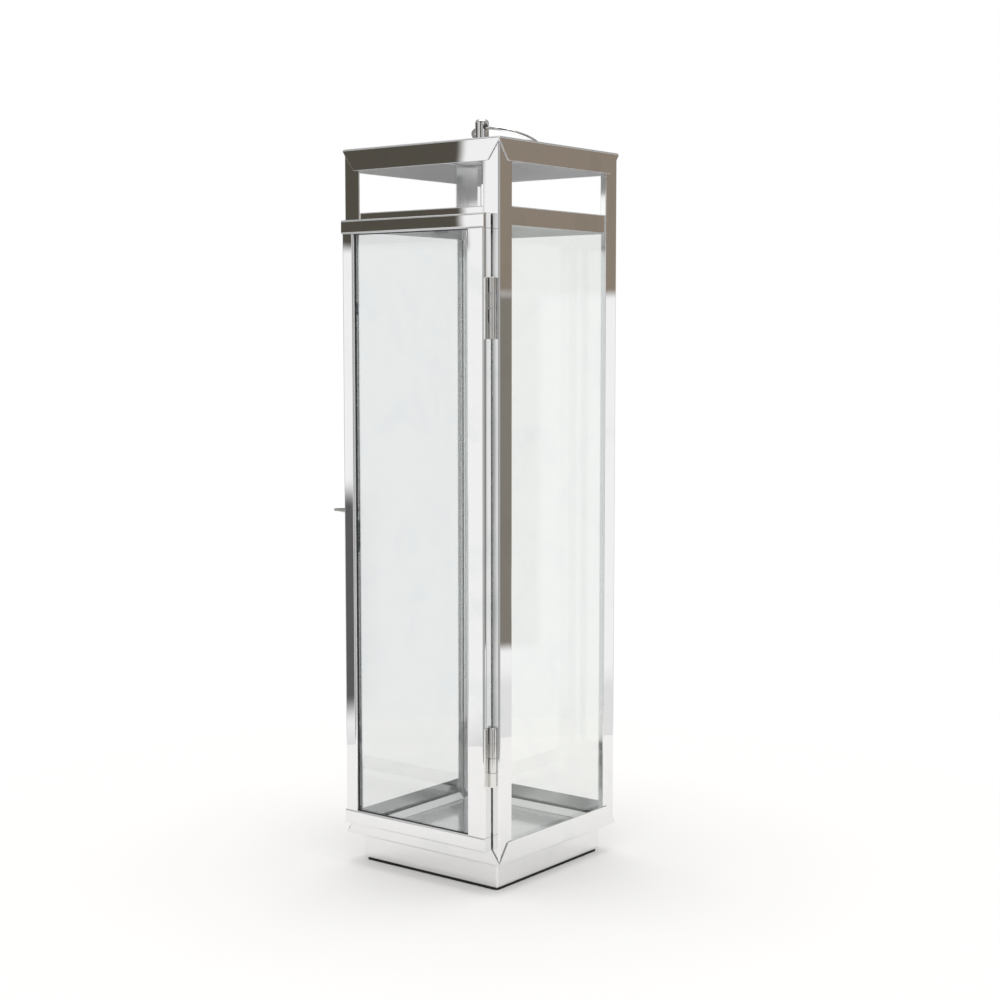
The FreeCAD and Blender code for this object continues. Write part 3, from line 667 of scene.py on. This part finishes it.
@dataclass
class Studio:
    """A white sweep with cards round it, a soft lamp overhead and the camera, placed in metres."""

    floor_radius: float = 0.62
    floor_sides: int = 96
    floor_colour: str = "#E9E8E6"
    floor_lift: float = 0.1
    ambient: str = "#F2F2F2"
    lamp_height: float = 2.4
    lamp_size: float = 1.6
    lamp_watts: float = 18.0
    bounces: int = 24
    camera_turn_deg: float = 37.79
    camera_tilt_deg: float = 5.22
    camera_distance: float = 1.6407
    camera_sidestep: float = 0.0166
    camera_height: float = 0.4918
    camera_lens_mm: float = 62.95

    def light_world(self) -> None:
        """Makes the world: white to the eye and through the glass, white with cards in it to the steel."""
        world = bpy.data.worlds.new("white_studio")
        bpy.context.scene.world = world
        world.use_nodes = True
        tree = world.node_tree
        tree.nodes.clear()
        aim = add_node(tree, "ShaderNodeTexCoord").outputs["Generated"]
        way = add_node(tree, "ShaderNodeSeparateXYZ", {0: aim})
        turn = add_node(tree, "ShaderNodeMath", {0: way.outputs[0], 1: way.outputs[1]}, operation="ARCTAN2")
        rise = add_node(tree, "ShaderNodeMath", {0: way.outputs[2]}, operation="ARCSINE")
        bearing = add_node(tree, "ShaderNodeMath", {0: turn.outputs[0]}, operation="DEGREES")
        elevation = add_node(tree, "ShaderNodeMath", {0: rise.outputs[0]}, operation="DEGREES")
        colour: Any = srgb(WHITE)
        for card in CARDS:
            cover = [
                self.window(tree, angle.outputs[0], span, card.blur)
                for angle, span in ((bearing, card.bearings), (elevation, card.elevations))
            ]
            both = add_node(tree, "ShaderNodeMath", {0: cover[0], 1: cover[1]}, operation="MULTIPLY")
            mixed = add_node(
                tree, "ShaderNodeMix",
                {0: both.outputs[0], 6: colour, 7: srgb(card.colour)}, data_type="RGBA", label=card.name,
            )
            colour = mixed.outputs[2]
        path = add_node(tree, "ShaderNodeLightPath")
        mirrored = add_node(
            tree, "ShaderNodeMath", {0: path.outputs["Glossy Depth"], 1: ONCE}, operation="GREATER_THAN"
        )
        direct = add_node(
            tree, "ShaderNodeMath", {0: path.outputs["Transmission Depth"], 1: ONCE}, operation="LESS_THAN"
        )
        outside = add_node(
            tree, "ShaderNodeMath", {0: mirrored.outputs[0], 1: direct.outputs[0]}, operation="MULTIPLY"
        )
        background = add_node(
            tree, "ShaderNodeMix", {0: outside.outputs[0], 6: srgb(WHITE), 7: colour}, data_type="RGBA"
        )
        lit = add_node(
            tree, "ShaderNodeMix",
            {0: path.outputs["Is Diffuse Ray"], 6: background.outputs[2], 7: srgb(self.ambient)},
            data_type="RGBA",
        )
        shine = add_node(tree, "ShaderNodeBackground", {"Color": lit.outputs[2], "Strength": 1.0})
        add_node(tree, "ShaderNodeOutputWorld", {"Surface": shine.outputs[0]})

    @staticmethod
    def window(
        tree: bpy.types.NodeTree, angle: bpy.types.NodeSocket, span: tuple[float, float], blur: float
    ) -> bpy.types.NodeSocket:
        """Adds nodes that give 1 inside a span of an angle and 0 outside it.

        Args:
            tree: The world's node tree.
            angle: Output that carries the angle in degrees.
            span: First and last angle inside.
            blur: Half the width of the soft edge, in degrees.

        Returns:
            The output that carries the share.
        """
        middle, half = (span[0] + span[1]) / 2, (span[1] - span[0]) / 2
        off = add_node(tree, "ShaderNodeMath", {0: angle, 1: middle}, operation="SUBTRACT")
        away = add_node(tree, "ShaderNodeMath", {0: off.outputs[0]}, operation="ABSOLUTE")
        share = add_node(
            tree, "ShaderNodeMapRange",
            {0: away.outputs[0], 1: half - blur, 2: half + blur, 3: 1.0, 4: 0.0},
            interpolation_type="SMOOTHSTEP",
        )
        return share.outputs[0]

    def lay_floor(self) -> None:
        """Makes the pale sweep that the lantern stands on."""
        mesh = bpy.data.meshes.new("sweep")
        shape = bmesh.new()
        bmesh.ops.create_circle(shape, cap_ends=True, segments=self.floor_sides, radius=self.floor_radius)
        shape.to_mesh(mesh)
        shape.free()
        floor = bpy.data.objects.new("sweep", mesh)
        bpy.context.scene.collection.objects.link(floor)
        material = bpy.data.materials.new("painted_sweep")
        material.use_nodes = True
        tree = material.node_tree
        tree.nodes.clear()
        path = add_node(tree, "ShaderNodeLightPath")
        matt = add_node(tree, "ShaderNodeBsdfDiffuse", {"Color": srgb(self.floor_colour)})
        straight = add_node(
            tree, "ShaderNodeMath",
            {0: path.outputs["Is Camera Ray"], 1: path.outputs["Is Transmission Ray"]}, operation="MAXIMUM",
        )
        eye = add_node(
            tree, "ShaderNodeMath",
            {0: straight.outputs[0], 1: path.outputs["Is Glossy Ray"]}, operation="MAXIMUM",
        )
        lift = add_node(
            tree, "ShaderNodeMath", {0: eye.outputs[0], 1: self.floor_lift}, operation="MULTIPLY"
        )
        glow = add_node(
            tree, "ShaderNodeEmission", {"Color": srgb(WHITE), "Strength": lift.outputs[0]}
        )
        laid = add_node(tree, "ShaderNodeAddShader", {0: matt.outputs[0], 1: glow.outputs[0]})
        add_node(tree, "ShaderNodeOutputMaterial", {"Surface": laid.outputs[0]})
        mesh.materials.append(material)

    def hang_lamp(self) -> None:
        """Hangs one large soft lamp over the lantern."""
        data = bpy.data.lights.new("overhead_softbox", "AREA")
        data.shape = "DISK"
        data.size = self.lamp_size
        data.energy = self.lamp_watts
        lamp = bpy.data.objects.new("overhead_softbox", data)
        lamp.location = (0, 0, self.lamp_height)
        bpy.context.scene.collection.objects.link(lamp)

    def set_camera(self) -> None:
        """Stands the camera where the photograph was taken from, tilted down to take in the whole lantern."""
        turn = math.radians(self.camera_turn_deg)
        ahead = Vector((-math.sin(turn), math.cos(turn), 0))
        right = Vector((math.cos(turn), math.sin(turn), 0))
        data = bpy.data.cameras.new("camera")
        data.lens = self.camera_lens_mm
        camera = bpy.data.objects.new("camera", data)
        camera.location = right * self.camera_sidestep - ahead * self.camera_distance
        camera.location.z = self.camera_height
        camera.rotation_euler = (math.pi / 2 - math.radians(self.camera_tilt_deg), 0, turn)
        bpy.context.scene.collection.objects.link(camera)
        bpy.context.scene.camera = camera

    def build(self) -> None:
        """Sets up the world, the floor, the lamp, the camera and plain colour handling."""
        scene = bpy.context.scene
        scene.view_settings.view_transform = "Standard"
        # light is mirrored to and fro between the posts and the panes before it gets out
        scene.cycles.max_bounces = self.bounces
        scene.cycles.glossy_bounces = self.bounces
        scene.cycles.transmission_bounces = self.bounces
        self.light_world()
        self.lay_floor()
        self.hang_lamp()
        self.set_camera()


def main() -> None:
    """Builds and dresses each group of pieces, then the studio."""
    logging.basicConfig(level=logging.INFO, format="%(name)s: %(message)s")
    for group in (Foot(), Carcass(), Glazing(), Door(), Hinges(), CarryRing()):
        group.build()
        group.dress()
    Studio().build()


if __name__ == "__main__":
    main()
